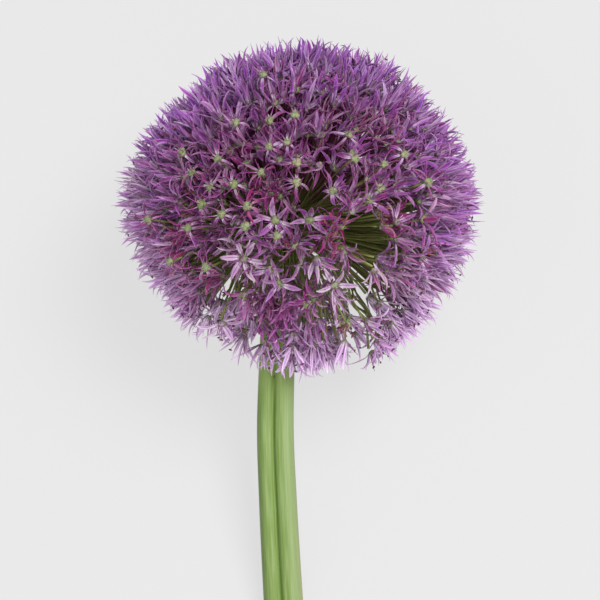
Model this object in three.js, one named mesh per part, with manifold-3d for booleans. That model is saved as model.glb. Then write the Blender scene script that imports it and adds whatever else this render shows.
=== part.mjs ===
// A cut allium flower head, lying as picked: a broad, grooved scape and a globe of star florets.
// Millimetres, +Z up. The flower is modelled in its own frame (x across it, y along its axis
// towards the top of the globe, z towards its upper side), and is then laid down on the
// surface z = 0, where the globe and the cut end of the scape carry it. The origin is the
// point of the surface under the floret that the globe rests on.
import * as THREE from 'three';
import { ConvexHull } from 'three/addons/math/ConvexHull.js';
import { mergeVertices } from 'three/addons/utils/BufferGeometryUtils.js';
import Module from 'manifold-3d';

const wasm = await Module();
wasm.setup();

const { degToRad } = THREE.MathUtils;

// ---- Driving dimensions ----
const GLOBE_ACROSS = 179;          // to the tepal tips, across the axis
const GLOBE_ALONG = 168;           // to the tepal tips, along the axis
const GLOBE_HEIGHT = 86;           // middle of the globe over the surface: its underside is pressed
const PRESS_HEIGHT = 4.5;          // petals lower than this are pressed flat on the surface

const FLORETS = 326;               // asked for; those with no room are left out
const TEPALS = 6;
const TEPAL_LENGTH = 13.5;         // from the floret's middle to a tepal's tip
const TEPAL_BASE = 5.6;            // from the floret's middle to where two tepals part
const FLORET_DEPTH = 3.4;          // from the middle of the face to the top of the pedicel
const CUP_ANGLE = degToRad(33);    // mean rise of the tepals
const LAYERS = 4;                  // neighbouring florets stand at different depths
const LAYER_STEP = 5;
const TRIES = 60;                  // ways that a floret may stand before it is left out
const WINDOW = new THREE.Vector3(33, -16, 80);   // a gap in the florets, on the upper side
const WINDOW_RADIUS = 11;

const PEDICEL_RADIUS = 0.85;
const ROOT_RADIUS = 0.55;
const ROOTS_APART = 1.5;
const ROOT_SPREAD = 0.66;          // root's angle from the axis, as a share of its floret's angle
const ARCH_FROM = degToRad(94);    // pedicels lower than this arch out and down
const ARCH_SPREAD = 0.5;
const RECEPTACLE = new THREE.Vector3(-8, -15, 0);
const RECEPTACLE_RADIUS = 13;
const RECEPTACLE_FOOT = degToRad(128);   // the dome ends at this angle, in a flat underside
const FOOT_POINTS = 12;
const SEAT_GAP = 0.3;

const SCAPE_LENGTH = 218;          // from the globe's middle to the cut, along the axis
const SCAPE_TOP_WIDTH = 17;
const SCAPE_CUT_WIDTH = 20;
const LOBE_SHARE = 0.275;          // radius of each of its two lobes, as a share of its width
const SCAPE_RINGS = 14;
const LOBE_POINTS = 9;
const SCAPE_ROOM = 12;             // from the scape's skin to the nearest floret's middle

// ---- The laid-down frame ----
const cutRadius = LOBE_SHARE * SCAPE_CUT_WIDTH;
const tilt = Math.asin(GLOBE_HEIGHT / Math.hypot(SCAPE_LENGTH, cutRadius))
  - Math.atan2(cutRadius, SCAPE_LENGTH);
const layDown = new THREE.Matrix4().makeRotationX(tilt).setPosition(0, 0, GLOBE_HEIGHT);
const up = new THREE.Vector3(0, 1, 0);
const down = new THREE.Vector3(0, -Math.sin(tilt), -Math.cos(tilt));

// Seeded random numbers, so that the same flower grows each time.
function seededRandom(seed) {
  let state = seed;
  return () => {
    state = (state + 0x6d2b79f5) | 0;
    let mixed = Math.imul(state ^ (state >>> 15), 1 | state);
    mixed = (mixed + Math.imul(mixed ^ (mixed >>> 7), 61 | mixed)) ^ mixed;
    return ((mixed ^ (mixed >>> 14)) >>> 0) / 4294967296;
  };
}
const random = seededRandom(20);
const spread = (amount) => amount * (2 * random() - 1);
const anyWay = (amount) => new THREE.Vector3(spread(amount), spread(amount), spread(amount));

function geometryOf(points, faces) {
  const geometry = new THREE.BufferGeometry();
  const numbers = points.flatMap((point) => point.toArray());
  geometry.setAttribute('position', new THREE.Float32BufferAttribute(numbers, 3));
  geometry.setIndex(faces.flat());
  return geometry;
}

function solidOf(geometry) {
  const merged = mergeVertices(geometry, 1e-5);
  return new wasm.Manifold(new wasm.Mesh({
    numProp: 3,
    vertProperties: Float32Array.from(merged.attributes.position.array),
    triVerts: Uint32Array.from(merged.index.array),
  }));
}

// ---- Scape: two stalks grown into one, with a groove down both sides ----
const footBelow = -RECEPTACLE_RADIUS * Math.cos(RECEPTACLE_FOOT);
const scapeTop = new THREE.Vector3(RECEPTACLE.x, RECEPTACLE.y - footBelow - SEAT_GAP, 0);
const scapeLine = new THREE.CatmullRomCurve3([
  scapeTop,
  new THREE.Vector3(-9.9, -50, 0),
  new THREE.Vector3(-11.3, -83.5, 0),
  new THREE.Vector3(-11.9, -112, 0),
  new THREE.Vector3(-10.6, -148, 0),
  new THREE.Vector3(-8.3, -191, 0),
  new THREE.Vector3(-6.6, -SCAPE_LENGTH, 0),
]);

function scapeOutline(width, margin) {
  const radius = LOBE_SHARE * width + margin;
  const offset = (0.5 - LOBE_SHARE) * width;
  const halfArc = Math.PI - Math.acos(offset / radius);
  const points = [];
  for (const side of [1, -1]) {
    for (let step = 1; step < LOBE_POINTS; step++) {
      const angle = ((2 * step) / (LOBE_POINTS - 1) - 1) * halfArc;
      points.push([side * (offset + radius * Math.cos(angle)), side * radius * Math.sin(angle)]);
    }
  }
  return points;
}

function makeScape(margin) {
  const points = [];
  const faces = [];
  const around = scapeOutline(SCAPE_TOP_WIDTH, margin).length;
  for (let ring = 0; ring < SCAPE_RINGS; ring++) {
    const share = ring / (SCAPE_RINGS - 1);
    const middle = scapeLine.getPoint(share);
    const width = THREE.MathUtils.lerp(SCAPE_TOP_WIDTH, SCAPE_CUT_WIDTH, share);
    for (const [x, z] of scapeOutline(width, margin)) {
      points.push(new THREE.Vector3(middle.x + x, middle.y, z));
    }
  }
  for (let a = 0; a < (SCAPE_RINGS - 1) * around; a++) {
    const b = a % around === around - 1 ? a + 1 - around : a + 1;
    faces.push([a, b + around, a + around], [a, b, b + around]);
  }
  for (const first of [0, (SCAPE_RINGS - 1) * around]) {
    const outline = points.slice(first, first + around).map((p) => new THREE.Vector2(p.x, p.z));
    for (const [a, b, c] of THREE.ShapeUtils.triangulateShape(outline, [])) {
      faces.push(first === 0 ? [first + c, first + b, first + a] : [first + a, first + b, first + c]);
    }
  }
  return geometryOf(points, faces).applyMatrix4(layDown);
}

// ---- Where the florets stand ----
const globe = new THREE.Vector3(GLOBE_ACROSS / 2, GLOBE_ALONG / 2, GLOBE_ACROSS / 2);

// Even directions from the middle of the globe, by the golden angle, each moved a little.
function evenDirections(count) {
  const goldenAngle = Math.PI * (3 - Math.sqrt(5));
  return Array.from({ length: count }, (_, i) => {
    const y = 1 - (2 * i + 1) / count;
    const radius = Math.sqrt(1 - y * y);
    const angle = i * goldenAngle;
    const way = new THREE.Vector3(radius * Math.cos(angle), y, radius * Math.sin(angle));
    return way.add(anyWay(0.03)).normalize();
  });
}

// How far a point beside the scape lies from its skin.
function fromScape(point) {
  const share = THREE.MathUtils.clamp((scapeTop.y - point.y) / (SCAPE_LENGTH + scapeTop.y), 0, 1);
  const width = THREE.MathUtils.lerp(SCAPE_TOP_WIDTH, SCAPE_CUT_WIDTH, share);
  const aside = Math.abs(point.x - scapeLine.getPoint(share).x) - (0.5 - LOBE_SHARE) * width;
  return Math.hypot(Math.max(0, aside), point.z) - LOBE_SHARE * width;
}

// The lowest point of the globe as it lies. The floret there is pressed flat, face down.
function restingTip() {
  return down.clone().multiply(globe).normalize().multiply(globe);
}

// Each floret takes the depth that its near neighbours use least.
function chooseLayers(tips) {
  const reach = 2.3 * TEPAL_LENGTH;
  const chosen = [];
  tips.forEach((tip, i) => {
    const crowding = Array.from({ length: LAYERS }, (_, layer) => 0.05 * layer);
    for (let j = 0; j < i; j++) {
      const closeness = Math.max(0, reach - tip.distanceTo(tips[j]));
      crowding[chosen[j]] += (closeness / 10) ** 2;
    }
    chosen.push(crowding.indexOf(Math.min(...crowding)));
  });
  return chosen;
}

// ---- One floret: a cupped six-pointed star on a three-sided pedicel ----
// Its points, in the laid-down frame: the middle of the face, the rim, then a ring of three
// for each station of the pedicel, down to its root on the receptacle.
function makeFloret(tip, layer, size, isResting) {
  const outward = tip.clone().sub(RECEPTACLE).normalize();
  const straightOut = tip.clone().divide(globe).divide(globe).normalize();
  const natural = outward.clone().add(straightOut).add(anyWay(0.12)).normalize();
  const facing = isResting ? down : natural;
  const cup = CUP_ANGLE + spread(degToRad(14));
  const length = TEPAL_LENGTH * size;
  const depth = length * Math.sin(cup) + (layer + spread(0.3)) * LAYER_STEP;
  const centre = tip.clone().addScaledVector(facing, -depth);
  const sideways = anyWay(1).cross(facing).normalize();
  const onward = facing.clone().cross(sideways);

  const points = [centre.clone()];
  for (let i = 0; i < 2 * TEPALS; i++) {
    const isTip = i % 2 === 0;
    const angle = (i * Math.PI) / TEPALS + (isTip ? spread(0.12) : 0);
    const rise = isTip ? cup + spread(0.2) : cup - 0.1;
    const reach = isTip ? length * (1 + spread(0.08)) : TEPAL_BASE;
    points.push(centre.clone()
      .addScaledVector(sideways, reach * Math.cos(rise) * Math.cos(angle))
      .addScaledVector(onward, reach * Math.cos(rise) * Math.sin(angle))
      .addScaledVector(facing, reach * Math.sin(rise)));
  }
  for (const point of points) {
    point.applyMatrix4(layDown);
    if (isResting || point.z < PRESS_HEIGHT) point.z = 0;
  }

  const head = centre.clone().addScaledVector(facing, -FLORET_DEPTH);
  const fromTop = outward.angleTo(up);
  const swing = new THREE.Vector3().crossVectors(up, outward).normalize();
  const rootWay = up.clone().applyAxisAngle(swing, ROOT_SPREAD * fromTop).add(anyWay(0.03)).normalize();
  const root = RECEPTACLE.clone().addScaledVector(rootWay, RECEPTACLE_RADIUS);
  const stations = [head, root];
  if (fromTop > ARCH_FROM) {
    const kneeWay = up.clone().applyAxisAngle(swing, ARCH_FROM + ARCH_SPREAD * (fromTop - ARCH_FROM));
    stations.splice(1, 0, RECEPTACLE.clone().addScaledVector(kneeWay, 0.5 * head.distanceTo(RECEPTACLE)));
  }
  stations.forEach((station, s) => {
    const isRoot = s === stations.length - 1;
    const above = stations[Math.max(s - 1, 0)];
    const below = stations[Math.min(s + 1, stations.length - 1)];
    const along = isRoot ? rootWay : above.clone().sub(below).normalize();
    const across = sideways.clone().projectOnPlane(along).normalize();
    const third = along.clone().cross(across);
    for (let j = 0; j < 3; j++) {
      const angle = (j * 2 * Math.PI) / 3;
      const radius = isRoot ? ROOT_RADIUS : PEDICEL_RADIUS;
      points.push(station.clone()
        .addScaledVector(across, radius * Math.cos(angle))
        .addScaledVector(third, radius * Math.sin(angle))
        .applyMatrix4(layDown));
    }
  });

  const rim = 2 * TEPALS;
  const ring = rim + 1;
  const rootRing = points.length - 3;
  const faces = [];
  for (let i = 0; i < rim; i++) {
    const a = 1 + i;
    const b = 1 + ((i + 1) % rim);
    const nearest = ring + (Math.floor((i + 2) / 4) % 3);
    faces.push([0, a, b], [nearest, b, a]);
  }
  for (let j = 0; j < 3; j++) {
    const next = (j + 1) % 3;
    faces.push([ring + j, ring + next, 3 + 4 * j]);
    for (let below = ring; below < rootRing; below += 3) {
      faces.push([below + j, below + j + 3, below + next + 3], [below + j, below + next + 3, below + next]);
    }
  }
  const rootCap = [rootRing, rootRing + 2, rootRing + 1];
  const solid = solidOf(geometryOf(points, [...faces, rootCap]));
  return { points, faces, rootRing, root, solid };
}

// Florets are set one after another. Each is turned, and shortened a little, until it is
// clear of the scape and of those already there.
function growFlorets() {
  const room = solidOf(makeScape(SEAT_GAP));
  const resting = restingTip();
  const others = evenDirections(FLORETS)
    .map((way) => way.divideScalar(way.clone().divide(globe).length()))
    .filter((tip) => tip.distanceTo(resting) > TEPAL_LENGTH)
    .filter((tip) => tip.distanceTo(WINDOW) > WINDOW_RADIUS)
    .filter((tip) => tip.y > scapeTop.y || fromScape(tip) > SCAPE_ROOM);
  const tips = [resting, ...others];
  const layers = chooseLayers(tips);
  const grown = [];
  tips.forEach((tip, i) => {
    const neighbours = grown.filter((other) => other.tip.distanceTo(tip) < 6 * TEPAL_LENGTH);
    const obstacles = [room, ...neighbours.map((other) => other.solid)];
    for (let turn = 0; turn < TRIES; turn++) {
      const floret = makeFloret(tip, layers[i], 1 - 0.2 * (turn / TRIES), tip === resting);
      const isRooted = grown.every((other) => other.root.distanceTo(floret.root) > ROOTS_APART);
      if (isRooted && obstacles.every((other) => floret.solid.intersect(other).isEmpty())) {
        grown.push({ ...floret, tip });
        return;
      }
    }
  });
  return grown;
}

// ---- Umbel: the florets and the domed receptacle that their pedicels grow from ----
// The receptacle is the convex skin over all the roots and a flat foot. Each root's own
// triangle is left out of it, so that skin and pedicels are one closed surface.
function makeUmbel() {
  const florets = growFlorets();
  const points = [];
  const faces = [];
  const skinPoints = [];
  const indexOf = new Map();
  for (const floret of florets) {
    const first = points.length;
    points.push(...floret.points);
    faces.push(...floret.faces.map((face) => face.map((i) => i + first)));
    for (let j = 0; j < 3; j++) {
      const point = floret.points[floret.rootRing + j];
      skinPoints.push(point);
      indexOf.set(point, { index: first + floret.rootRing + j, floret });
    }
  }
  for (let i = 0; i < FOOT_POINTS; i++) {
    const angle = (i * 2 * Math.PI) / FOOT_POINTS;
    const radius = RECEPTACLE_RADIUS * Math.sin(RECEPTACLE_FOOT);
    const point = new THREE.Vector3(radius * Math.cos(angle), -footBelow, radius * Math.sin(angle))
      .add(RECEPTACLE)
      .applyMatrix4(layDown);
    skinPoints.push(point);
    indexOf.set(point, { index: points.length, floret: null });
    points.push(point);
  }
  for (const face of new ConvexHull().setFromPoints(skinPoints).faces) {
    const corners = [face.edge.prev, face.edge, face.edge.next].map((edge) => indexOf.get(edge.head().point));
    const [first] = corners;
    const isRoot = first.floret !== null && corners.every((corner) => corner.floret === first.floret);
    if (!isRoot) faces.push(corners.map((corner) => corner.index));
  }
  return geometryOf(points, faces);
}

// ---- The flower ----
const scape = new THREE.Mesh(makeScape(0), new THREE.MeshStandardMaterial({
  color: 0x8aae62, roughness: 0.5, metalness: 0,
}));
scape.name = 'scape';
const umbel = new THREE.Mesh(makeUmbel(), new THREE.MeshStandardMaterial({
  color: 0x8c5596, roughness: 0.75, metalness: 0,
}));
umbel.name = 'umbel';

const flower = new THREE.Group();
flower.add(scape, umbel);
// The origin is on the surface, in the middle of the floret that the globe rests on.
flower.position.y = -restingTip().applyMatrix4(layDown).y;

export default flower;
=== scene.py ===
import math

import bpy
import numpy as np
from mathutils import Matrix, Vector


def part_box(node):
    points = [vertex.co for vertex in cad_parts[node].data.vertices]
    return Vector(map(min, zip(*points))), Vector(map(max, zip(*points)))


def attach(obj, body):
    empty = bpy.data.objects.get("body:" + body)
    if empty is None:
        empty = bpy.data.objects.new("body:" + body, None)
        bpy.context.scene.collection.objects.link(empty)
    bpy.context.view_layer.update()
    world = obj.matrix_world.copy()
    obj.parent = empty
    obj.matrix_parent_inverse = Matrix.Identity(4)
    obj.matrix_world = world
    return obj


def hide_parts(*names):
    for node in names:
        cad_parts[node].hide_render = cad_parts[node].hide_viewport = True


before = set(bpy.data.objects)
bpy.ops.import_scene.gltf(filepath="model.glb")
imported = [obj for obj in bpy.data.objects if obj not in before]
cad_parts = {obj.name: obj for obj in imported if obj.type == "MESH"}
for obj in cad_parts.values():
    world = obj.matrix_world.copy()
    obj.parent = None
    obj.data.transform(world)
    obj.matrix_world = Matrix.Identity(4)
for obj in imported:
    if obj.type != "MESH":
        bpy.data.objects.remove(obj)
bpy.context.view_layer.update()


# ---- How the flower lies ----
# A cut flower with no vase: the globe and the cut end of the scape rest on the surface. The
# flower's own frame has x across it, y along its axis and z towards its upper side, in metres.
GLOBE_HEIGHT = 0.086         # of the globe's middle over the surface
SCAPE_LENGTH = 0.218         # from the globe's middle to the cut
SCAPE_CUT_WIDTH = 0.020
LOBE_SHARE = 0.275           # a lobe's radius, of the scape's width
SOFT_TOUCH = 0.0004          # over this height a petal that meets the surface bends flat on it
WELL_CLEAR = 20              # as many of these heights up, nothing bends

cut_radius = LOBE_SHARE * SCAPE_CUT_WIDTH
tilt = math.asin(GLOBE_HEIGHT / math.hypot(SCAPE_LENGTH, cut_radius))
tilt = tilt - math.atan2(cut_radius, SCAPE_LENGTH)
scape_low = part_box("scape")[0]
globe_y = scape_low[1] + cut_radius * math.sin(tilt) + SCAPE_LENGTH * math.cos(tilt)
lay_down = np.array(Matrix.Translation((0, globe_y, GLOBE_HEIGHT)) @ Matrix.Rotation(tilt, 4, "X"))


def laid(points):
    """Points of the flower's own frame, laid down, with what meets the surface pressed on it."""
    placed = points @ lay_down[:3, :3].T + lay_down[:3, 3]
    height = placed[..., 2] / SOFT_TOUCH
    bent = SOFT_TOUCH * np.logaddexp(0, np.minimum(height, WELL_CLEAR))
    placed[..., 2] = np.where(height > WELL_CLEAR, placed[..., 2], bent)
    return placed


def unit(vectors):
    return vectors / np.linalg.norm(vectors, axis=-1, keepdims=True)


# ---- Scape ----
# The leafless stalk, here two stalks grown into one with a deep groove down both sides, the left
# one slightly thinner. Fleshy, with a waxy, finely ribbed skin and two small scars. It was cut
# straight across with a knife.
SCAPE_TOP_WIDTH = 0.017
LOBE_DIFFERENCE = 0.02
RIB_HEIGHT = 0.00009
RIBS = 15
SCAPE_RINGS = 120
SCAPE_AROUND = 96
# The scape's middle, by x and y in millimetres from the globe's middle.
SCAPE_LINE = [
    (-8, -23.3), (-9.9, -50), (-11.3, -83.5), (-11.9, -112), (-10.6, -148), (-8.3, -191), (-6.6, -218),
]


def swept(name, rings, marks=(), sharp=()):
    """One mesh of many sweeps. rings has the shape (sweeps, rings, points round, 3), marks are named
    values for each sweep, ring and point that the finish reads, and sharp lists the points whose
    lines along the sweep are sharp edges. Each sweep has its own cell of the baking map."""
    sweeps, count, around = rings.shape[:3]
    corner = np.arange(sweeps * count * around).reshape(sweeps, count, around)
    here, there = corner[:, :-1], corner[:, 1:]
    quads = np.stack([here, np.roll(here, -1, 2), np.roll(there, -1, 2), there], -1).reshape(-1, 4)
    columns = math.ceil(math.sqrt(sweeps))
    cell = np.stack([np.arange(sweeps) % columns, np.arange(sweeps) // columns], -1) / columns
    across, along = np.meshgrid(np.arange(around + 1) / around, np.arange(count) / (count - 1))
    spot = cell[:, None, None] + (0.06 + 0.88 * np.stack([across, along], -1)) / columns
    left, right = spot[:, :, :-1], spot[:, :, 1:]
    quad_map = np.stack([left[:, :-1], right[:, :-1], right[:, 1:], left[:, 1:]], -2).reshape(-1, 2)
    loops, sizes, maps = [quads.ravel()], [np.full(len(quads), 4)], [quad_map]
    for ring, step in ((0, -1), (count - 1, 1)):
        loops.append(corner[:, ring, ::step].ravel())
        sizes.append(np.full(sweeps, around))
        maps.append(left[:, ring, ::step].reshape(-1, 2))
    loops, sizes, maps = np.concatenate(loops), np.concatenate(sizes), np.concatenate(maps)
    mesh = bpy.data.meshes.new(name)
    mesh.vertices.add(corner.size)
    mesh.vertices.foreach_set("co", rings.astype(np.float32).ravel())
    mesh.loops.add(len(loops))
    mesh.loops.foreach_set("vertex_index", loops.astype(np.int32))
    mesh.polygons.add(len(sizes))
    mesh.polygons.foreach_set("loop_start", np.concatenate([[0], np.cumsum(sizes)[:-1]]).astype(np.int32))
    mesh.polygons.foreach_set("use_smooth", np.ones(len(sizes), bool))
    mesh.update(calc_edges=True)
    mesh.uv_layers.new(name="OFBake").data.foreach_set("uv", maps.astype(np.float32).ravel())
    for mark, values in dict(marks).items():
        layer = mesh.attributes.new(mark, "FLOAT", "POINT")
        layer.data.foreach_set("value", np.broadcast_to(values, corner.shape).astype(np.float32).ravel())
    if sharp:
        ends = np.empty(len(mesh.edges) * 2, np.int32)
        mesh.edges.foreach_get("vertices", ends)
        ends = ends.reshape(-1, 2) % around
        is_sharp = (ends[:, 0] == ends[:, 1]) & np.isin(ends[:, 0], sharp)
        mesh.attributes.new("sharp_edge", "BOOLEAN", "EDGE").data.foreach_set("value", is_sharp)
    mesh.validate()
    piece = bpy.data.objects.new(name, mesh)
    bpy.context.collection.objects.link(piece)
    return piece


class Value:
    """A shader socket that ordinary sums work on."""

    def __init__(self, finish, socket):
        self.finish, self.socket = finish, socket

    def maths(self, operation, *others):
        return self.finish.node("ShaderNodeMath", {"operation": operation}, [self, *others])

    def __add__(self, other):
        return self.maths("ADD", other)

    def __radd__(self, other):
        return self.maths("ADD", other)

    def __sub__(self, other):
        return self.maths("SUBTRACT", other)

    def __rsub__(self, other):
        return (self * -1).maths("ADD", other)

    def __mul__(self, other):
        return self.maths("MULTIPLY", other)

    def __rmul__(self, other):
        return self.maths("MULTIPLY", other)

    def __truediv__(self, other):
        return self.maths("DIVIDE", other)

    def __pow__(self, other):
        return self.maths("POWER", other)

    def kept(self):
        return self.finish.node("ShaderNodeClamp", {}, [self])

    def size(self):
        return self.maths("ABSOLUTE")


class Finish:
    """A material whose nodes are made one by one, each giving back one of its outputs."""

    def __init__(self, name, **constants):
        self.material = bpy.data.materials.new(name)
        self.material.use_nodes = True
        self.tree = self.material.node_tree
        self.shader = self.tree.nodes["Principled BSDF"]
        for socket, value in constants.items():
            self.shader.inputs[socket.replace("_", " ")].default_value = value

    def node(self, kind, settings, inputs, output=0):
        made = self.tree.nodes.new(kind)
        for key, value in settings.items():
            setattr(made, key, value)
        pairs = inputs.items() if isinstance(inputs, dict) else enumerate(inputs)
        for key, value in pairs:
            self.feed(made.inputs[key], value)
        return Value(self, made.outputs[output])

    def feed(self, socket, value):
        if isinstance(value, Value):
            self.tree.links.new(value.socket, socket)
        elif socket.type == "RGBA":
            socket.default_value = (*value, 1)
        else:
            socket.default_value = value

    def mark(self, name):
        return self.node("ShaderNodeAttribute", {"attribute_name": name}, {}, "Fac")

    def blend(self, share, first, second):
        kind = {"data_type": "RGBA", "blend_type": "MIX"}
        return self.node("ShaderNodeMix", kind, {0: share, 6: first, 7: second}, 2)

    def steps(self, value, low, high):
        """A soft step from 0 at low to 1 at high, which falls where high is the smaller."""
        settings = {"interpolation_type": "SMOOTHSTEP"}
        return self.node("ShaderNodeMapRange", settings, {0: value, 1: low, 2: high})

    def noise(self, scale, detail=2.0, place=None):
        inputs = {"Scale": scale, "Detail": detail}
        if place is not None:
            inputs["Vector"] = place
        return self.node("ShaderNodeTexNoise", {}, inputs)

    def wear(self, colour, bump=None, depth=0.0002, strength=0.5):
        self.feed(self.shader.inputs["Base Color"], colour)
        if bump is not None:
            inputs = {"Strength": strength, "Distance": depth, "Height": bump}
            self.feed(self.shader.inputs["Normal"], self.node("ShaderNodeBump", {}, inputs))
        return self.material


def srgb(red, green, blue):
    """A colour given as it shows on a screen, 0 to 255, in the light values that shaders use."""
    parts = np.array([red, green, blue]) / 255
    linear = np.where(parts > 0.04045, ((parts + 0.055) / 1.055) ** 2.4, parts / 12.92)
    return tuple(float(part) for part in linear)


def smooth_line(stops, shares):
    """A curve through points, evenly timed along its length, at the shares asked for."""
    stops = np.asarray(stops, float)
    reach = np.concatenate([[0], np.cumsum(np.linalg.norm(np.diff(stops, axis=0), axis=1))])
    slopes = np.gradient(stops, reach, axis=0)
    at = np.clip(shares, 0, 1) * reach[-1]
    leg = np.clip(np.searchsorted(reach, at, side="right") - 1, 0, len(stops) - 2)
    span = (reach[leg + 1] - reach[leg])[:, None]
    part = (at - reach[leg])[:, None] / span
    return (
        (2 * part**3 - 3 * part**2 + 1) * stops[leg]
        + (part**3 - 2 * part**2 + part) * span * slopes[leg]
        + (3 * part**2 - 2 * part**3) * stops[leg + 1]
        + (part**3 - part**2) * span * slopes[leg + 1]
    )


def scape_middle(along):
    """x of the scape's middle at a place along the axis."""
    line = smooth_line(np.array(SCAPE_LINE) / 1000, np.linspace(0, 1, 60))
    return np.interp(-along, -line[:, 1], line[:, 0])


shares = np.linspace(0, 1, SCAPE_RINGS)
line = smooth_line(np.array(SCAPE_LINE) / 1000, shares)
width = SCAPE_TOP_WIDTH + (SCAPE_CUT_WIDTH - SCAPE_TOP_WIDTH) * shares
turn = np.linspace(0, 2 * math.pi, SCAPE_AROUND, endpoint=False)
# From the middle, the skin is the further side of the lobe that reaches further. The left lobe is
# the thinner one, so the groove lies left of the middle.
skin = np.zeros((SCAPE_RINGS, SCAPE_AROUND))
for sign, share in ((-1, LOBE_SHARE - LOBE_DIFFERENCE), (1, LOBE_SHARE + LOBE_DIFFERENCE)):
    offset = sign * (0.5 - share) * width[:, None]
    half_chord = np.sqrt((share * width[:, None]) ** 2 - (offset * np.sin(turn)) ** 2)
    skin = np.maximum(skin, offset * np.cos(turn) + half_chord)
skin = skin + RIB_HEIGHT * np.cos(turn * 2 * RIBS + 0.6 * np.sin(3 * turn))
scape_rings = np.stack([
    line[:, :1] + skin * np.cos(turn),
    np.broadcast_to(line[:, 1:], skin.shape),
    skin * np.sin(turn),
], -1)
# The cut edge is a little rounded, and the pith inside it is drawn back.
cut_shares = np.array([0.985, 0.93, 0.80, 0.4, 0.05])
cut_depths = np.array([0.0, 0.0003, 0.0006, 0.0008, 0.0009])
cut_middle = np.array([line[-1, 0], line[-1, 1], 0])
cut_rings = cut_middle + (scape_rings[-1] - cut_middle) * cut_shares[:, None, None]
cut_rings[..., 1] += cut_depths[:, None]
scape_rings = np.concatenate([scape_rings, cut_rings])
down_scape = np.concatenate([shares, np.ones(len(cut_shares))])
on_cut = np.concatenate([np.zeros(SCAPE_RINGS), np.ones(len(cut_shares))])
in_from_rim = np.concatenate([np.zeros(SCAPE_RINGS), 1 - cut_shares])
scape = swept("stalk", laid(scape_rings)[None], marks={
    "down": down_scape[None, :, None],
    "turn": (turn / (2 * math.pi))[None, None, :],
    "cut": on_cut[None, :, None],
    "inward": in_from_rim[None, :, None],
})
skin_finish = Finish("scape_skin", Roughness=0.42, Subsurface_Weight=0.12, Subsurface_Scale=0.002)
SKIN_GREEN = srgb(99, 124, 51)
SKIN_PALE = srgb(125, 145, 86)
SKIN_PAINTED_SHADE = srgb(64, 92, 22)
SKIN_BLUSH = srgb(168, 150, 108)
SKIN_PAINTED_LIGHT = srgb(150, 178, 92)
SKIN_PAINTED_HIGHLIGHT = srgb(138, 154, 108)
SCAR = srgb(58, 52, 30)
SCAR_BROWN = srgb(112, 78, 56)
PITH = srgb(214, 224, 176)
PITH_RING = srgb(150, 180, 96)
# Each scar's share down the scape, its share of a turn round it, and its colour.
SCARS = [(0.321, 0.303, SCAR), (0.727, 0.293, SCAR_BROWN)]
SCAR_SHARE_DOWN = 0.005
SCAR_SHARE_ROUND = 0.013
GROOVE_PLACE = -0.27         # on the scape's upper side, from -1 at its left edge to 1 at its right
down, round_it = skin_finish.mark("down"), skin_finish.mark("turn")
drawn_out = skin_finish.node("ShaderNodeCombineXYZ", {}, [round_it * 9, down * 0.8, 0.0])
streaks = skin_finish.noise(9, 4, drawn_out)
to_right = (round_it * 2 * math.pi).maths("COSINE")
off_groove = to_right - GROOVE_PLACE
colour = skin_finish.blend(skin_finish.steps(streaks, 0.35, 0.72), SKIN_GREEN, SKIN_PALE)
# Painted light: a paler band down the right lobe is a painted highlight; painted shade deepens the
# green in the groove and at the left edge; and near the top a lighter, yellower green is painted light.
colour = skin_finish.blend(skin_finish.steps(to_right, 0.45, 0.8) * 0.6, colour, SKIN_PAINTED_HIGHLIGHT)
# Painted shade: the groove between the lobes is painted darker.
groove_shade = skin_finish.steps(off_groove, 0.55, 0.02) * skin_finish.steps(off_groove, -0.10, -0.02)
colour = skin_finish.blend(groove_shade * 0.8, colour, SKIN_PAINTED_SHADE)
# Painted shade: the scape's left edge, away from the key lamp, is painted darker.
colour = skin_finish.blend(skin_finish.steps(to_right, -0.74, -1.0) * 0.45, colour, SKIN_PAINTED_SHADE)
# Painted light: the top of the scape is painted lighter to lift the globe's shadow there.
colour = skin_finish.blend(skin_finish.steps(down, 0.42, 0.28) * 0.55, colour, SKIN_PAINTED_LIGHT)
for scar_down, scar_turn, scar_colour in SCARS:
    scar = ((down - scar_down) / SCAR_SHARE_DOWN) ** 2 + ((round_it - scar_turn) / SCAR_SHARE_ROUND) ** 2
    colour = skin_finish.blend(skin_finish.steps(scar, 1.0, 0.3) * 0.75, colour, scar_colour)
blush = skin_finish.steps(down, 0.55, 1.0) * skin_finish.steps((round_it - 0.02).size(), 0.05, 0.0) * 0.6
colour = skin_finish.blend(blush, colour, SKIN_BLUSH)
inward = skin_finish.mark("inward")
flecks = skin_finish.noise(900, 2)
pith = skin_finish.blend(skin_finish.steps(inward, 0.0, 0.16), PITH_RING, PITH)
pith = skin_finish.blend(skin_finish.steps(flecks, 0.62, 0.74) * 0.5, pith, PITH_RING)
colour = skin_finish.blend(skin_finish.mark("cut"), colour, pith)
scape.data.materials.append(skin_finish.wear(colour, bump=streaks, depth=0.0003, strength=0.25))
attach(scape, "root")
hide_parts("scape")


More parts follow.
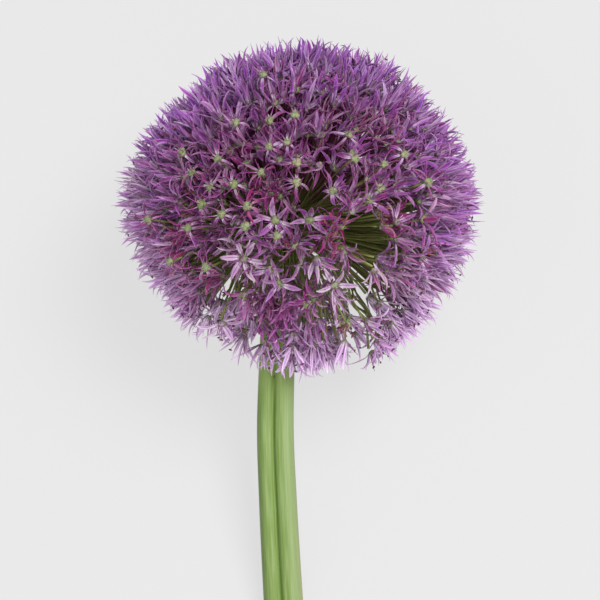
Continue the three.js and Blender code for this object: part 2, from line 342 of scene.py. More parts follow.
# ---- Receptacle ----
# The domed top of the scape, hidden in the middle of the globe, which all the pedicels grow from.
# Fleshy and pale green, with a flat foot on the scape.
RECEPTACLE = np.array([-0.008, -0.015, 0.0])
RECEPTACLE_RADIUS = 0.0125
FOOT_ANGLE = math.radians(128)
DOME_RINGS = 24
DOME_AROUND = 48
angles = np.linspace(0.02, FOOT_ANGLE, DOME_RINGS)
dome_turn = np.linspace(0, 2 * math.pi, DOME_AROUND, endpoint=False)
dome = RECEPTACLE + RECEPTACLE_RADIUS * np.stack([
    np.sin(angles)[:, None] * np.cos(dome_turn),
    np.broadcast_to(np.cos(angles)[:, None], (DOME_RINGS, DOME_AROUND)),
    -np.sin(angles)[:, None] * np.sin(dome_turn),
], -1)
receptacle = swept("receptacle", laid(dome)[None])
green_finish = Finish("receptacle_skin", Roughness=0.5)
mottle = green_finish.noise(700, 3)
colour = green_finish.blend(mottle, srgb(120, 140, 70), srgb(160, 172, 100))
receptacle.data.materials.append(green_finish.wear(colour, bump=mottle, depth=0.0004))
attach(receptacle, "root")
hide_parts("umbel")


# ---- Where the florets stand ----
# More than a thousand florets cover the globe at even spacing, each on a pedicel of its own. Those
# with no room beside the scape are missing, and thin places show the pedicels or the light.
FLORETS = 1400
SEED = 2
GLOBE_ACROSS = 0.179
GLOBE_ALONG = 0.168
TIPS_PAST_GLOBE = np.array([0.0028, 0.0008, 0.0012])
EXTENT = np.array([GLOBE_ACROSS, GLOBE_ALONG, GLOBE_ACROSS]) / 2 + TIPS_PAST_GLOBE
UNEVENNESS = 0.04
UP = np.array([0.0, 1.0, 0.0])
TEPAL_LENGTH = 0.0146
# The places below are given as they show to the camera, from this height over this spot.
CAMERA_HEIGHT = 1.5
AIM = np.array([0.0005, -0.0473])
# The florets whose green middles show from above, by x and y in millimetres: first those whose
# tepals have shrunk and fallen back, then the open stars, then the dried ones.
SEEN_BARE = [
    (-41, 24), (-54, 17), (-32, 42), (-15, 43), (-6, 32), (-15, 30), (-2, 46), (28, 24), (53, 26), (43, 21),
    (65, 12), (41, 9), (-26, 0), (-1, 12), (-1, 22), (-49, 1), (-39, -4), (-76, -7), (-56, -11), (-65, -28),
    (-59, 27), (-33, 11), (-45, 10), (-19, 17), (-18, 66), (-27, -10), (-11, -15), (25, 36), (-47, -31),
]
SEEN_OPEN = [
    (11, 36), (17, 8), (35, 3), (49, -8), (-12, -7), (5, -7), (-28, -26), (-15, -32), (-10, -39), (9, -27),
    (18, -40), (38, -32), (-28, -45), (-39, -59),
]
SEEN_DRIED = [(17, -8), (19, -14), (22, -10), (16, -12), (24, -60), (-4, -20)]
# Crowded florets, by x, y and z in millimetres: a tangle over the scape's top, the thick low
# corners, a fringe that hangs in front of the scape, and a clump right of it.
TANGLE = [
    (-17, -50, 66), (-10, -48, 68), (-3, -50, 66), (-14, -56, 60), (-7, -57, 62), (-14, -63, 52),
    (-7, -64, 54), (-10, -71, 46), (-2, -72, 46),
]
CORNERS = [
    (-64, -56, 12), (-58, -62, 12), (-51, -67, 14), (-68, -48, 14), (-61, -54, 26), (62, -62, 12),
    (55, -68, 12), (66, -54, 16),
]
FRINGE = [
    (-32, -77, 20), (-21, -82, 22), (-13, -84, 22), (-5, -86, 22), (4, -86, 22), (12, -84, 24),
    (19, -80, 30), (-14, -79, 40), (-4, -81, 40), (7, -80, 38),
]
CLUMP = [(42, -80, 26), (49, -74, 28), (45, -75, 42), (53, -67, 38)]
# Thin places, by x, y and radius in millimetres: the window and smaller gaps in the florets, then
# holes right through the globe.
GAPS = [
    (27, -12.5, 8.5), (34, -22.5, 10.5), (43, -12, 5), (14, 24, 5.5), (-3, -22, 4), (9, -51, 4),
    (7, -58, 3), (-46, -40, 4),
]
HOLES = [
    (-39, -44.5, 3.5), (-44, -53.5, 2.5), (-21, -65, 4), (33.5, -46, 4), (40, -46, 3), (29, -62, 5),
    (28, -72, 6),
]
# Where most tepals are washed out nearly white, and where most have withered to crimson.
PALE = [
    (-70, -28, 9), (-33, -27, 8), (-44, -40, 7), (16, -46, 12), (33, -34, 8), (62, -44, 10),
    (-44, -62, 10), (49, -8, 4), (-84, 12, 9), (-83, -6, 9),
]
CRIMSON = [
    (-57, -32, 9), (-52, -44, 8), (-14, -58, 15), (20, -10, 9), (14, -20, 6), (32, -16, 5), (58, -6, 8),
    (-22, 4, 9), (-27, 27, 7), (-64, -10, 8),
]
# Room that a floret needs: beside the scape's two lobes, from the florets placed above, and from
# the edges of the thin places.
BETWEEN_LOBES = 0.004
LOBE_RADIUS = 0.005
SCAPE_ROOM = 0.0065
SEEN_ROOM = 0.0038
GAP_ROOM = 0.004
HOLE_ROOM = 0.0065
# The share of florets missing low on the globe, and beyond each hole on its underside and above.
MISSING_LOW = 0.22
MISSING_UNDER = 0.92
MISSING_ABOVE = 0.45
rng = np.random.default_rng(SEED)


def metres(places):
    return np.array(places) / 1000


def any_way(count, amount):
    return rng.uniform(-amount, amount, (count, 3))


def globe(ways):
    """The tips' surface: an oval, fuller at both corners on its right side."""
    oval = ways / np.linalg.norm(ways / EXTENT, axis=1, keepdims=True)
    x, y = ways[:, :1], ways[:, 1:2]
    return oval * (1 + x * y**2 * (0.075 - 0.03 * y) - 0.26 * x**4 * y**2)


def seen(places):
    """Points on the upper side of the globe that show at places given on the floor. Where a point
    shows and how high it lies depend on each other, so a few turns find both."""
    spots = metres(places)
    upward = np.full(len(spots), 0.07)
    for _ in range(4):
        under = AIM + (spots - AIM) * (1 - upward[:, None] / CAMERA_HEIGHT)
        flat = (under[:, 0] / EXTENT[0]) ** 2 + (under[:, 1] / EXTENT[1]) ** 2
        upward = np.sqrt(np.maximum(1 - flat, 0.02)) * EXTENT[2]
    return np.column_stack([under, upward])


def shows_at(points):
    """Where florets with these tips show on the floor, by their middles."""
    heads = points - unit(points - RECEPTACLE) * 0.006
    return AIM + (heads[:, :2] - AIM) / (1 - heads[:, 2:] / CAMERA_HEIGHT)


def near(points, others, reach):
    return (np.linalg.norm(points[:, None] - others[None], axis=2) < reach).any(axis=1)


def thin(points, places, margin):
    spots = metres(places)
    apart = np.linalg.norm(shows_at(points)[:, None] - spots[None, :, :2], axis=2)
    return (apart < spots[:, 2] + margin).any(axis=1)


order = np.arange(FLORETS)
height = 1 - (2 * order + 1) / FLORETS
golden_turn = order * math.pi * (3 - math.sqrt(5))
belt = np.sqrt(1 - height**2)
ways = np.stack([belt * np.cos(golden_turn), height, belt * np.sin(golden_turn)], -1)
tips = globe(unit(ways + any_way(FLORETS, UNEVENNESS)))
marked = seen(SEEN_BARE + SEEN_OPEN + SEEN_DRIED)
crowded = metres(TANGLE + CORNERS + FRINGE + CLUMP)
beside_lobes = np.maximum(np.abs(tips[:, 0] - scape_middle(tips[:, 1])) - BETWEEN_LOBES, 0)
from_scape = np.hypot(beside_lobes, tips[:, 2]) - LOBE_RADIUS
has_room = (tips[:, 1] > RECEPTACLE[1]) | (from_scape > SCAPE_ROOM)
has_room &= ~near(tips, marked, SEEN_ROOM)
has_room &= ~(thin(tips, GAPS, GAP_ROOM) & (tips[:, 2] > 0))
has_room &= ~thin(tips, HOLES, HOLE_ROOM)
has_room &= rng.random(FLORETS) > np.clip((-0.040 - tips[:, 1]) / 0.03, 0, 1) * MISSING_LOW
# Most florets beyond a hole are missing too, as their pedicels would run across it.
from_root = np.linalg.norm(tips[:, :2] - RECEPTACLE[:2], axis=1)
way = unit(tips[:, :2] - RECEPTACLE[:2])
missing = np.where(tips[:, 2] < -0.01, MISSING_UNDER, MISSING_ABOVE)
for hole_x, hole_y, hole_radius in metres(HOLES):
    to_hole = np.array([hole_x, hole_y]) - RECEPTACLE[:2]
    across_hole = np.abs(way[:, 0] * to_hole[1] - way[:, 1] * to_hole[0]) < hole_radius
    beyond = (from_root > np.linalg.norm(to_hole)) & (way @ to_hole > 0)
    has_room &= ~(across_hole & beyond & (rng.random(FLORETS) < missing))
tips = np.concatenate([marked, tips[has_room], crowded])
count = len(tips)
number = np.arange(count)
dried_from = len(SEEN_BARE + SEEN_OPEN)
is_marked = number < len(marked)
is_bare = number < len(SEEN_BARE)
is_open = ~is_bare & (number < dried_from)
is_dry = is_marked & (number >= dried_from) | (rng.random(count) < 0.008)
is_crowded = number >= count - len(crowded)

# How each floret stands: it faces outward and away from the thin places. How low and how far on
# the upper side it is sets how open and how old it is. Some sit deeper than others. The angles of
# the tepals' ends, in degrees, are those of a closed floret and what opening and shrinking take off.
FACING_SCATTER = 0.26
TURNED_FROM_THIN = 1.5
CLOSED_ANGLE = 84
OPENING_ANGLE = 76
SHRINKING_ANGLE = 55
DEEPER_BY = 0.013
BARE_DEPTH = 0.003
BARE_DEEPER_BY = 0.0015
lowness = np.clip((-0.010 - tips[:, 1]) / 0.06, 0, 1)
upper = np.clip(tips[:, 2] / EXTENT[2] * 2 - 0.7, 0, 1)
outward = unit(tips - RECEPTACLE)
turned_up = is_marked[:, None] * np.array([0, 0, 0.4])
facing = unit(outward + unit(tips / EXTENT**2) + any_way(count, FACING_SCATTER) + turned_up)
for thin_x, thin_y, thin_radius in metres(HOLES + GAPS):
    away = shows_at(tips) - [thin_x, thin_y]
    apart = np.linalg.norm(away, axis=1, keepdims=True)
    facing[:, :2] += away / apart * np.exp(-((apart / (thin_radius + 0.005)) ** 2)) * TURNED_FROM_THIN
facing = unit(facing)
openness = np.clip(rng.beta(1.0, 4.2, count) + 0.1 * lowness + 0.06 * upper + 0.3 * is_open, 0, 1)
openness = np.where(is_bare, 1.0, np.where(is_dry, 0.1, openness))
age = np.clip(rng.beta(1.3, 1.8, count) * (0.6 + 0.4 * upper) + 0.3 * upper, 0, 1) * (1 - 0.6 * is_open)
age = np.maximum(np.maximum(age, is_dry), 0.6 * is_bare)
last_angle = np.radians(CLOSED_ANGLE - OPENING_ANGLE * openness - SHRINKING_ANGLE * is_bare)
depth = TEPAL_LENGTH * (0.30 + 0.62 * np.sin(np.maximum(last_angle, 0)))
depth = depth + DEEPER_BY * rng.random(count) ** 1.5 * ~(is_marked | is_crowded)
depth[is_bare] = BARE_DEPTH + BARE_DEEPER_BY * rng.random(is_bare.sum())
middles = tips - np.where(is_marked[:, None], [0.0, 0.0, 1.0], facing) * depth[:, None]
sideways = unit(np.cross(any_way(count, 1), facing))
onward = np.cross(facing, sideways)
patches = 0.5 + 0.5 * np.sin(tips @ [70, 40, 55]) * np.sin(tips @ [-45, 85, 30])
warmth = 0.55 * rng.random(count) + 0.45 * patches


def around(places):
    """How much each floret belongs to round places given by x, y and radius in millimetres."""
    spots = metres(places)
    apart = np.linalg.norm(shows_at(tips)[:, None] - spots[None, :, :2], axis=2) / spots[:, 2]
    return np.exp(-(apart**2)).max(axis=1) * (tips[:, 2] > -0.035)


# Painted light: tepal ends round the rim of the globe's lower half are painted lighter, more so on the
# left and in the fringe that hangs in the globe's shade.
edge = np.clip(1 - np.abs(tips[:, 2]) / 0.045, 0, 1) * np.clip((0.03 - tips[:, 1]) / 0.05, 0, 1)
edge = edge * np.where(tips[:, 0] < 0, 1.9, 0.9)
edge[-len(FRINGE + CLUMP):] = 1.7
edge[-len(CLUMP):] = 0.6
paleness = np.clip(around(PALE) + 0.35 * is_open + rng.normal(-0.2, 0.25, count), 0, 1)
wither = np.clip(1.6 * around(CRIMSON) + rng.normal(-0.2, 0.3, count), 0, 1)
age = np.maximum(age, 0.7 * wither)


# ---- Pedicels ----
# One thin olive stalk for each floret, flushed purple towards the top of the globe. They spring
# from the receptacle side by side, and the low ones arch out and hang round the scape.
PEDICEL_RADIUS = 0.00047
ROOT_SPREAD = 0.66
ARCH_FROM = math.radians(94)
ARCH_SPREAD = 0.5
KNEE_SHARE = 0.55
FOOT_BELOW_MIDDLE = 0.0022
PEDICEL_RINGS = 9
PEDICEL_SIDES = 4


def turned(swing, angle):
    """The flower's axis turned towards a floret by an angle."""
    return UP * np.cos(angle)[:, None] + np.cross(swing, UP) * np.sin(angle)[:, None]


def tubes(paths, radii, sides):
    """Rings round each path. paths has the shape (tubes, rings, 3), and radii fits (tubes, rings)."""
    along = unit(np.gradient(paths, axis=1))
    across = unit(np.cross(along, np.broadcast_to([0.3, 0.2, 0.93], along.shape)))
    third = np.cross(along, across)
    angle = np.linspace(0, 2 * math.pi, sides, endpoint=False)
    ring = across[:, :, None] * np.cos(angle)[:, None] + third[:, :, None] * np.sin(angle)[:, None]
    return paths[:, :, None] + ring * np.asarray(radii)[..., None, None]


from_top = np.arccos(np.clip(outward @ UP, -1, 1))
swing = unit(np.cross(UP, outward))
feet = middles - facing * FOOT_BELOW_MIDDLE
roots = RECEPTACLE + turned(swing, ROOT_SPREAD * from_top) * RECEPTACLE_RADIUS * 0.97
knee_angle = np.where(from_top > ARCH_FROM, ARCH_FROM + ARCH_SPREAD * (from_top - ARCH_FROM), from_top)
reach = np.linalg.norm(feet - RECEPTACLE, axis=1)[:, None]
knees = RECEPTACLE + turned(swing, knee_angle) * KNEE_SHARE * reach + any_way(count, 0.0035)
pedicel_shares = np.linspace(0, 1, PEDICEL_RINGS)
up_it = pedicel_shares[None, :, None]
still_up = 1 - up_it
paths = still_up**2 * roots[:, None] + 2 * up_it * still_up * knees[:, None] + up_it**2 * feet[:, None]
# Pedicels bow aside round each hole.
run = unit((feet - roots)[:, :2])[:, None]
across_run = np.stack([-run[..., 1], run[..., 0]], -1)
for hole_x, hole_y, hole_radius in metres(HOLES):
    off = paths[..., :2] - [hole_x, hole_y]
    beside_hole = (off * across_run).sum(-1, keepdims=True)
    past_hole = (off * run).sum(-1, keepdims=True)
    rim_at = hole_radius * rng.uniform(0.8, 2.2, (count, 1, 1))
    bow = np.maximum(rim_at - np.abs(beside_hole), 0) * np.exp(-((past_hole / (1.5 * hole_radius)) ** 2))
    paths[..., :2] += across_run * np.sign(beside_hole) * bow * np.minimum(1, 4 * still_up)
pedicel_radii = PEDICEL_RADIUS * (1 + 0.5 * pedicel_shares**8)
pedicels = swept("pedicels", laid(tubes(paths, pedicel_radii[None], PEDICEL_SIDES)), marks={
    "along": pedicel_shares[None, :, None],
    "chance": warmth[:, None, None],
    "flushed": np.clip((tips[:, 1] - 0.005) / 0.03, 0, 1)[:, None, None],
})
stalk_finish = Finish("pedicel_skin", Roughness=0.5)
OLIVE = srgb(94, 104, 40)
OLIVE_PALE = srgb(138, 144, 76)
STALK_FLUSH = srgb(104, 36, 74)
along, chance, flushed = (stalk_finish.mark(name) for name in ("along", "chance", "flushed"))
colour = stalk_finish.blend(chance, OLIVE, OLIVE_PALE)
flush = stalk_finish.steps(along, 0.1, 0.6) * (0.1 + 0.85 * flushed)
colour = stalk_finish.blend(flush, colour, STALK_FLUSH)
grain = stalk_finish.noise(2500, 2)
pedicels.data.materials.append(stalk_finish.wear(colour, bump=grain, depth=0.0001))
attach(pedicels, "root")
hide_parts("umbel")


# ---- Ovaries ----
# A floret's green middle: three swollen lobes with furrows between them and a short pale style.
# It sits on the end of the pedicel.
OVARY_RADIUS = 0.0023
OVARY_HEIGHT = 0.0029
OVARY_RINGS = 4
OVARY_SIDES = 12
NAVEL_DEPTH = 0.0004


def in_floret(x, y, z):
    """Places given in each floret's own frame, as (florets, rings, points, 3) in the flower's."""
    axes = (sideways, onward, facing)
    offset = sum(part[..., None] * axis[:, None, None] for part, axis in zip((x, y, z), axes))
    return middles[:, None, None] + offset


rise = np.linspace(0.04, 0.985, OVARY_RINGS)
profile = OVARY_RADIUS * (np.sin(math.pi * rise**0.75) ** 0.62)[:, None]
lobe_turn = np.linspace(0, 2 * math.pi, OVARY_SIDES, endpoint=False)
lobe_height = np.abs(np.cos(1.5 * lobe_turn))
lobes = 0.80 + 0.22 * lobe_height
size = rng.uniform(0.82, 1.1, count) + 0.08 * is_marked
ovary_x = profile * (lobes * np.cos(lobe_turn))
ovary_y = profile * (lobes * np.sin(lobe_turn))
ovary_z = OVARY_HEIGHT * (rise[:, None] - 0.25) - NAVEL_DEPTH * (rise[:, None] > 0.97)
ovary_z = np.broadcast_to(ovary_z, ovary_x.shape)
ovary_rings = in_floret(*(part[None] * size[:, None, None] for part in (ovary_x, ovary_y, ovary_z)))
ovaries = swept("ovaries", laid(ovary_rings), marks={
    "rise": rise[None, :, None],
    "furrow": lobe_height[None, None, :],
    "chance": warmth[:, None, None],
})
ovary_finish = Finish("ovary_skin", Roughness=0.45, Subsurface_Weight=0.15, Subsurface_Scale=0.001)
OVARY_GREEN = srgb(108, 120, 74)
OVARY_PALE = srgb(144, 148, 112)
OVARY_BLUSH = srgb(150, 122, 100)
OVARY_FURROW = srgb(84, 100, 44)
OVARY_FOOT = srgb(110, 90, 70)
risen, lobe, chance = (ovary_finish.mark(name) for name in ("rise", "furrow", "chance"))
colour = ovary_finish.blend(chance, OVARY_GREEN, OVARY_PALE)
colour = ovary_finish.blend(ovary_finish.steps(chance, 0.75, 1.0) * 0.6, colour, OVARY_BLUSH)
colour = ovary_finish.blend(ovary_finish.steps(lobe, 0.4, 0.0) * 0.7, colour, OVARY_FURROW)
colour = ovary_finish.blend(ovary_finish.steps(risen, 0.35, 0.0) * 0.6, colour, OVARY_FOOT)
pimples = ovary_finish.noise(4200, 2)
ovaries.data.materials.append(ovary_finish.wear(colour, bump=pimples, depth=0.0002, strength=0.6))
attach(ovaries, "root")
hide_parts("umbel")

STYLE_LENGTH = 0.0028
STYLE_FOOT = 0.68            # of the ovary's height
STYLE_LEAN = 0.0008
style_shares = np.linspace(0, 1, 3)
style_rise = STYLE_FOOT * OVARY_HEIGHT + STYLE_LENGTH * style_shares
lean = rng.uniform(-STYLE_LEAN, STYLE_LEAN, (count, 2))
style_paths = middles[:, None] + facing[:, None] * style_rise[None, :, None] * size[:, None, None]
for way_aside, amount in ((sideways, lean[:, :1]), (onward, lean[:, 1:])):
    style_paths = style_paths + way_aside[:, None] * (amount * style_shares**2)[..., None]
styles = swept("styles", laid(tubes(style_paths, (0.00024 - 0.0001 * style_shares)[None], 3)))
style_finish = Finish("style_skin", Roughness=0.5)
colour = style_finish.blend(style_finish.noise(600, 1), srgb(214, 200, 206), srgb(190, 160, 190))
styles.data.materials.append(style_finish.wear(colour))
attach(styles, "root")
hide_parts("umbel")


# ---- Stamens ----
# Six purple filaments round each ovary, broad and pale at the foot and fine at the end, which grow
# long, curled and crimson with age. Most have shed their anthers; some still carry a dark, mealy one.
STAMENS = 6
FILAMENT_LENGTH = 0.0078
FILAMENT_FOOT_RADIUS = 0.00034
FILAMENT_END_RADIUS = 0.00013
FILAMENT_START = 0.0013
FILAMENT_RINGS = 4


def floret_of(turns):
    """The floret that each of these filaments or tepals belongs to, by number."""
    return np.repeat(np.arange(count), len(turns) // count)


def arms(turns, lengths, first_rise, last_rise, bends, stops, start, quick=0.45, curls=0.0):
    """Lines that leave each floret's middle sideways. Each rises at its first angle, reaches its last
    one along its length, and bends aside. Gives points and the ways along, aside and over the line."""
    eased = np.clip(stops / quick, 0, 1)
    eased = eased * eased * (3 - 2 * eased)
    rises = first_rise[:, None] + (last_rise - first_rise)[:, None] * eased[None]
    rises = rises + np.reshape(curls, (-1, 1)) * stops[None] ** 3
    headings = (turns[:, None] + bends[:, None] * stops[None] ** 1.6)[..., None]
    step = np.diff(stops, prepend=0)[None] * lengths[:, None]
    floret = floret_of(turns)
    side, front = sideways[floret][:, None], onward[floret][:, None]
    out = np.cos(headings) * side + np.sin(headings) * front
    aside = -np.sin(headings) * side + np.cos(headings) * front
    axis = facing[floret][:, None]
    ahead = np.cos(rises)[..., None] * out + np.sin(rises)[..., None] * axis
    over = np.cos(rises)[..., None] * axis - np.sin(rises)[..., None] * out
    points = middles[floret][:, None] + start * out[:, :1] + np.cumsum(ahead * step[..., None], axis=1)
    return points, ahead, aside, over


stamen_count = count * STAMENS
stamen_turn = np.tile(np.arange(STAMENS) * math.pi / 3, count) + math.pi / 6
stamen_turn = stamen_turn + rng.uniform(-0.15, 0.15, stamen_count)
stamen_age = age[floret_of(stamen_turn)]
filament_length = FILAMENT_LENGTH * rng.uniform(0.75, 1.2, stamen_count) * (1 + 0.35 * stamen_age)
start_rise = np.radians(rng.uniform(25, 60, stamen_count))
end_rise = np.radians(rng.uniform(20, 85, stamen_count))
stamen_bend = rng.uniform(-0.5, 0.5, stamen_count) * (1 + 2 * stamen_age)
filament_shares = np.linspace(0, 1, FILAMENT_RINGS)
filament_paths = arms(stamen_turn, filament_length, start_rise, end_rise, stamen_bend, filament_shares,
                      FILAMENT_START)[0]
filament_radii = FILAMENT_FOOT_RADIUS * (1 - filament_shares) ** 1.5 + FILAMENT_END_RADIUS
filaments = swept("filaments", laid(tubes(filament_paths, filament_radii[None], 3)), marks={
    "along": filament_shares[None, :, None],
    "chance": rng.random(stamen_count)[:, None, None],
    "age": stamen_age[:, None, None],
})
filament_finish = Finish("filament_skin", Roughness=0.5)
THREAD_PURPLE = srgb(120, 50, 120)
THREAD_LILAC = srgb(160, 90, 160)
THREAD_CRIMSON = srgb(138, 38, 114)
THREAD_FOOT = srgb(205, 190, 200)
along, chance, aged = (filament_finish.mark(name) for name in ("along", "chance", "age"))
colour = filament_finish.blend(chance, THREAD_PURPLE, THREAD_LILAC)
colour = filament_finish.blend(filament_finish.steps(aged, 0.3, 0.8) * 0.7, colour, THREAD_CRIMSON)
colour = filament_finish.blend(filament_finish.steps(along, 0.35, 0.0), colour, THREAD_FOOT)
filaments.data.materials.append(filament_finish.wear(colour))
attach(filaments, "root")
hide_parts("umbel")

ANTHER_SHARE = 0.2
ANTHER_LENGTH = 0.0026
ANTHER_RADIUS = 0.0005
ANTHER_RINGS = 5
has_anther = rng.random(stamen_count) < ANTHER_SHARE * (0.5 + 2 * lowness[floret_of(stamen_turn)])
anther_count = has_anther.sum()
thread_ends = filament_paths[has_anther, -1]
thread_ways = thread_ends - filament_paths[has_anther, -2]
across_end = unit(np.cross(thread_ways, any_way(anther_count, 1)))
anther_shares = np.linspace(0, 1, ANTHER_RINGS)
anther_offsets = (ANTHER_LENGTH * (anther_shares - 0.5))[None, :, None]
anther_paths = thread_ends[:, None] + across_end[:, None] * anther_offsets
anther_radii = ANTHER_RADIUS * np.sqrt(np.maximum(1 - (2 * anther_shares - 1) ** 2, 0.02))
anthers = swept("anthers", laid(tubes(anther_paths, anther_radii[None], 4)), marks={
    "chance": rng.random(anther_count)[:, None, None],
})
anther_finish = Finish("anther_meal", Roughness=0.8)
meal = anther_finish.noise(5000, 2)
colour = anther_finish.blend(anther_finish.mark("chance"), srgb(74, 22, 52), srgb(110, 50, 84))
colour = anther_finish.blend(anther_finish.steps(meal, 0.55, 0.8) * 0.4, colour, srgb(150, 120, 110))
anthers.data.materials.append(anther_finish.wear(colour, bump=meal, depth=0.0002))
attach(anthers, "root")
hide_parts("umbel")


# ---- Tepals ----
# Six narrow petals a floret, thin and soft, folded along the middle and ending in a point. Most
# stand up round the ovary like a vase; open florets spread them, and old ones curl and twist.
TEPALS = 6
TEPAL_WIDTH = 0.0036
TEPAL_THICKNESS = 0.00024
TEPAL_START = 0.0012
TEPAL_RINGS = 8
TEPAL_PIECES = 3
tepal_count = count * TEPALS
tepal_turn = np.tile(np.arange(TEPALS) * math.pi / 3, count) + rng.uniform(-0.16, 0.16, tepal_count)
home = floret_of(tepal_turn)
open_now, is_star, is_shrunk = openness[home], is_open[home], is_bare[home]
old = np.clip(age[home] + rng.normal(0, 0.15, tepal_count), 0, 1)
length = TEPAL_LENGTH * rng.uniform(0.82, 1.09, tepal_count) * (1 - 0.25 * open_now)
length = length * (1 - 0.4 * is_dry[home]) * (1 + 0.1 * (1 - upper[home]))
first_rise = np.radians(45 - 12 * open_now - 45 * is_shrunk + rng.uniform(-12, 12, tepal_count))
astray = np.clip(rng.standard_t(2.5, tepal_count) * (11 + 11 * upper[home]), -60, 50)
last_rise = last_angle[home] + np.radians(astray)
curl = rng.normal(-4, 24 + 25 * is_star, tepal_count) - 55 * open_now
curl = np.radians(curl + rng.normal(0, 65, tepal_count) * old)
bend = rng.normal(0, 0.18 + 0.25 * is_star, tepal_count)
bend = bend + rng.normal(0, 0.9, tepal_count) * old * (0.35 + open_now)
twist = rng.normal(0, 0.25, tepal_count) + rng.normal(0, 1.7, tepal_count) * old
tepal_shares = np.linspace(0, 1, TEPAL_RINGS) ** 0.8
points, ahead, aside, over = arms(tepal_turn, length, first_rise, last_rise, bend, tepal_shares,
                                  TEPAL_START, 0.35, curl)
spin = (twist[:, None] * tepal_shares[None] ** 1.3)[..., None]
wide_way = np.cos(spin) * aside + np.sin(spin) * over
thick_way = np.cos(spin) * over - np.sin(spin) * aside
spread_out = np.clip(1.3 * open_now + 0.5 * upper[home], 0, 1)
bluntness = (2.2 + rng.uniform(0.2, 4.5, tepal_count) * spread_out)[:, None]
swelling = 0.45 + 0.55 * np.sin(math.pi / 2 * np.clip(tepal_shares / 0.55, 0, 1))
outline = swelling * (1 - tepal_shares[None] ** bluntness)
half_width = TEPAL_WIDTH / 2 * rng.uniform(0.72, 1.0, tepal_count) * (0.88 + 0.12 * spread_out)
half_width = half_width * (1 - 0.3 * old) * (1 - 0.1 * is_dry[home]) * (1 - 0.3 * is_shrunk)
half_width = half_width[:, None] * np.maximum(outline, 0.03)
fold = 0.12 + rng.uniform(0.1, 0.5, tepal_count)[:, None] * tepal_shares
fold = fold + (0.75 * old)[:, None] * (0.4 + 0.6 * tepal_shares)
to_edge = wide_way * (half_width * np.cos(fold))[..., None]
edge_up = thick_way * (half_width * np.sin(fold))[..., None]
keel_down = thick_way * (TEPAL_THICKNESS * (1 - 0.6 * tepal_shares[:, None]))
rings = np.stack([
    points - to_edge + edge_up,
    points - keel_down,
    points + to_edge + edge_up,
    points,
], axis=2)
tepal_marks = {
    "along": tepal_shares[None, :, None],
    "across": np.array([-1.0, 0.0, 1.0, 0.0])[None, None, :],
    "inside": np.array([0.5, 0.0, 0.5, 1.0])[None, None, :],
    "warmth": warmth[home][:, None, None],
    "age": old[:, None, None],
    "chance": rng.random(tepal_count)[:, None, None],
    "low": lowness[home][:, None, None],
    "high": np.clip((tips[home, 1] - 0.005) / 0.05, 0, 1)[:, None, None],
    "pale": np.clip(paleness[home] + rng.normal(-0.1, 0.2, tepal_count), 0, 1)[:, None, None],
    "wither": np.clip(wither[home] + rng.normal(-0.1, 0.2, tepal_count), 0, 1)[:, None, None],
    "upper": upper[home][:, None, None],
    "edge": edge[home][:, None, None],
    "dry": is_dry[home][:, None, None],
}
tepal_finish = Finish("tepal_skin", Roughness=0.5, Specular_IOR_Level=0.3, Subsurface_Weight=0.25,
                      Subsurface_Scale=0.001, Subsurface_Radius=(1.0, 0.6, 1.0))
along, across, inside, warm, aged, chance, low, high, pale, withered, upper_shade, rim_painted_light, dried = (
    tepal_finish.mark(name) for name in tepal_marks)
PURPLE = srgb(120, 34, 142)
LILAC = srgb(172, 84, 196)
VIOLET = srgb(136, 68, 182)
MAGENTA = srgb(148, 20, 100)
CRIMSON_SKIN = srgb(142, 16, 82)
FUCHSIA = srgb(146, 20, 132)
PLUM = srgb(64, 10, 76)
PALE_EDGE_AND_HIGHLIGHT = srgb(222, 166, 232)
ROSE = srgb(150, 44, 132)
WHITISH = srgb(230, 216, 230)
WASHED = srgb(206, 190, 202)
LAVENDER_PAINTED_LIGHT = srgb(228, 190, 236)
SAGE = srgb(172, 166, 142)
DUSTY = srgb(150, 95, 152)
MAROON = srgb(96, 14, 46)
PAINTED_SHADE_PURPLE = srgb(106, 44, 92)
RUST = srgb(138, 86, 72)
steps, blend = tepal_finish.steps, tepal_finish.blend
# Each floret is between purple and lilac, more violet high on the globe. Single tepals are darker
# or dustier, and old ones magenta to maroon.
colour = blend(steps(warm, 0.15, 0.85), PURPLE, LILAC)
colour = blend(high * 0.5, colour, VIOLET)
colour = blend(steps(aged, 0.35, 0.9) * 0.6, colour, MAGENTA)
colour = blend(steps(chance, 0.75, 1.0) * 0.6, colour, PLUM)
colour = blend(steps((chance - 0.5).size(), 0.14, 0.0) * 0.75, colour, DUSTY)
colour = blend(steps(aged + chance * 0.4, 0.95, 1.2) * 0.6, colour, MAROON)
# Painted shade: tepals on the globe's upper side, facing the camera, are painted darker, and their pale
# tints and rims are held back there.
colour = blend(upper_shade * 0.66, colour, PAINTED_SHADE_PURPLE)
# Tepals are duller and greener outside, some all over, and some are bleached. Low ones are paler,
# partly their own colour and partly painted light towards their ends, for light through thin tepals.
colour = blend(steps(inside, 0.5, 0.0) * (0.12 + 0.1 * low), colour, SAGE)
colour = blend(steps(chance, 0.22, 0.0) * (0.4 + 0.2 * low - 0.18 * upper_shade), colour, SAGE)
colour = blend(steps((chance - 0.32).size(), 0.06, 0.02) * (0.55 - 0.43 * upper_shade), colour, WHITISH)
colour = blend(low * (1 - 0.6 * upper_shade) * (0.1 + 0.55 * along), colour, LAVENDER_PAINTED_LIGHT)
colour = blend(pale * 0.65, colour, WASHED)
foot = steps(along, 0.5, 0.05) * (1 - steps(aged, 0.5, 0.95)) * (1 - 0.6 * withered)
colour = blend((foot * (0.55 + 0.35 * low) + low * (1 - upper_shade) * 0.15).kept(), colour, WHITISH)
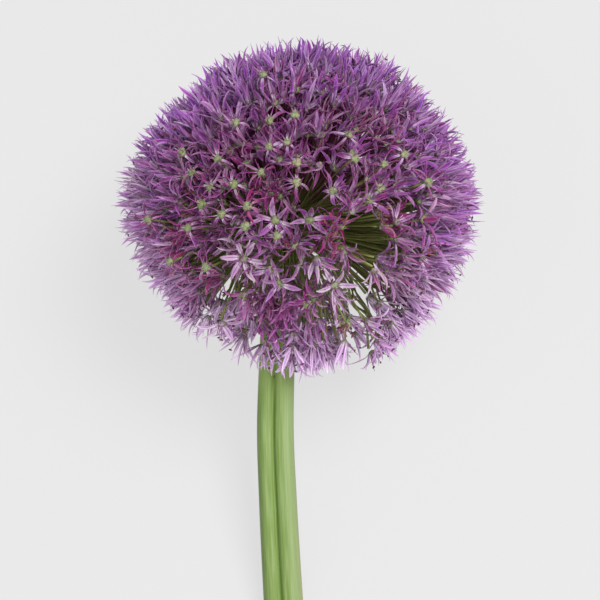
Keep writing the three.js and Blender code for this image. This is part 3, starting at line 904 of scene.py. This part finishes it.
# Withered tepals are crimson, or fuchsia low down. Round the globe's rim the ends are lightened to
# lavender as painted light.
colour = blend(withered * 0.8, colour, blend(steps(low, 0.5, 0.9), CRIMSON_SKIN, FUCHSIA))
colour = blend((rim_painted_light * (1 - 0.7 * withered) * (0.1 + 0.45 * along)).kept(), colour, LAVENDER_PAINTED_LIGHT)
# A dark vein runs up the middle, and the edges are pale, or rose on low warm florets: partly their
# own colour, partly a painted highlight, held back on the globe's upper side as painted shade.
vein = steps(across.size(), 0.3, 0.05) * steps(along, 1.0, 0.55)
colour = blend(vein * 0.6, colour, PLUM)
rim = steps(across.size(), 0.62, 1.0) * (0.35 + 0.4 * along) * (1 - 0.68 * upper_shade) * (1 - 0.6 * withered)
rim_and_highlight_colour = blend(steps(warm, 0.45, 0.75) * (0.3 + 0.6 * low), PALE_EDGE_AND_HIGHLIGHT, ROSE)
colour = blend(rim, colour, rim_and_highlight_colour)
colour = blend(dried * 0.9, colour, RUST)
tepal_finish.wear(colour)
for part in range(TEPAL_PIECES):
    chosen = home % TEPAL_PIECES == part
    tepals = swept(f"tepals_{part + 1}", laid(rings[chosen]), marks={
        mark: values[chosen] if len(values) > 1 else values for mark, values in tepal_marks.items()
    }, sharp=(0, 2))
    tepals.data.materials.append(tepal_finish.material)
    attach(tepals, "root")
    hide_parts("umbel")


# ---- Floor, light and camera ----
# A plain pale floor, soft studio light from above, and the camera over the flower, looking down
# across it with the flower's axis upright in its view.
FLOOR_HALF = 3.0
FLOOR_GREY = 0.08
FLOOR_GLOW = 0.67
VIEW_PIXELS = 600
METRES_A_PIXEL = 0.000503
FAR_AWAY = 20
STUDIO_GLOW = 0.36
# The lamps: place over the flower, size and power.
LAMPS = {
    "key": ((0.7, 0.8, 1.8), 1.0, 52),
    "fill": ((-1.2, -0.3, 1.8), 1.8, 14),
    "front": ((0.3, -1.4, 1.1), 1.4, 15),
}
floor_corners = [(x * FLOOR_HALF, y * FLOOR_HALF, 0) for x, y in ((-1, -1), (1, -1), (1, 1), (-1, 1))]
floor_mesh = bpy.data.meshes.new("floor")
floor_mesh.from_pydata(floor_corners, [], [(0, 1, 2, 3)])
floor = bpy.data.objects.new("floor", floor_mesh)
bpy.context.collection.objects.link(floor)
floor_finish = Finish("floor_paper", Base_Color=(FLOOR_GREY, FLOOR_GREY, FLOOR_GREY, 1), Roughness=0.9,
                      Emission_Color=(1, 1, 1, 1), Emission_Strength=FLOOR_GLOW)
floor_mesh.materials.append(floor_finish.material)


def over_flower(x, y, z):
    """A place given in the flower's own frame, laid down with it."""
    return Vector((lay_down @ np.array([x, y, z, 1.0]))[:3])


camera_data = bpy.data.cameras.new("camera")
camera_data.sensor_width = 36
camera_data.lens = 36 * CAMERA_HEIGHT / (VIEW_PIXELS * METRES_A_PIXEL)
camera_data.clip_end = FAR_AWAY
camera = bpy.data.objects.new("camera", camera_data)
bpy.context.collection.objects.link(camera)
camera.location = over_flower(*AIM, CAMERA_HEIGHT)
camera.rotation_euler = Matrix.Rotation(tilt, 3, "X").to_euler()
bpy.context.scene.camera = camera

for lamp_name, (place, lamp_size, power) in LAMPS.items():
    lamp_data = bpy.data.lights.new(lamp_name, "AREA")
    lamp_data.size = lamp_size
    lamp_data.energy = power
    lamp = bpy.data.objects.new(lamp_name, lamp_data)
    bpy.context.collection.objects.link(lamp)
    lamp.location = over_flower(*place)
    to_globe = over_flower(0, 0, 0) - lamp.location
    lamp.rotation_euler = to_globe.to_track_quat("-Z", "Y").to_euler()
world = bpy.data.worlds.new("studio")
world.use_nodes = True
background = world.node_tree.nodes["Background"]
background.inputs["Color"].default_value = (1.0, 1.0, 1.0, 1)
background.inputs["Strength"].default_value = STUDIO_GLOW
bpy.context.scene.world = world
bpy.context.scene.view_settings.view_transform = "Standard"
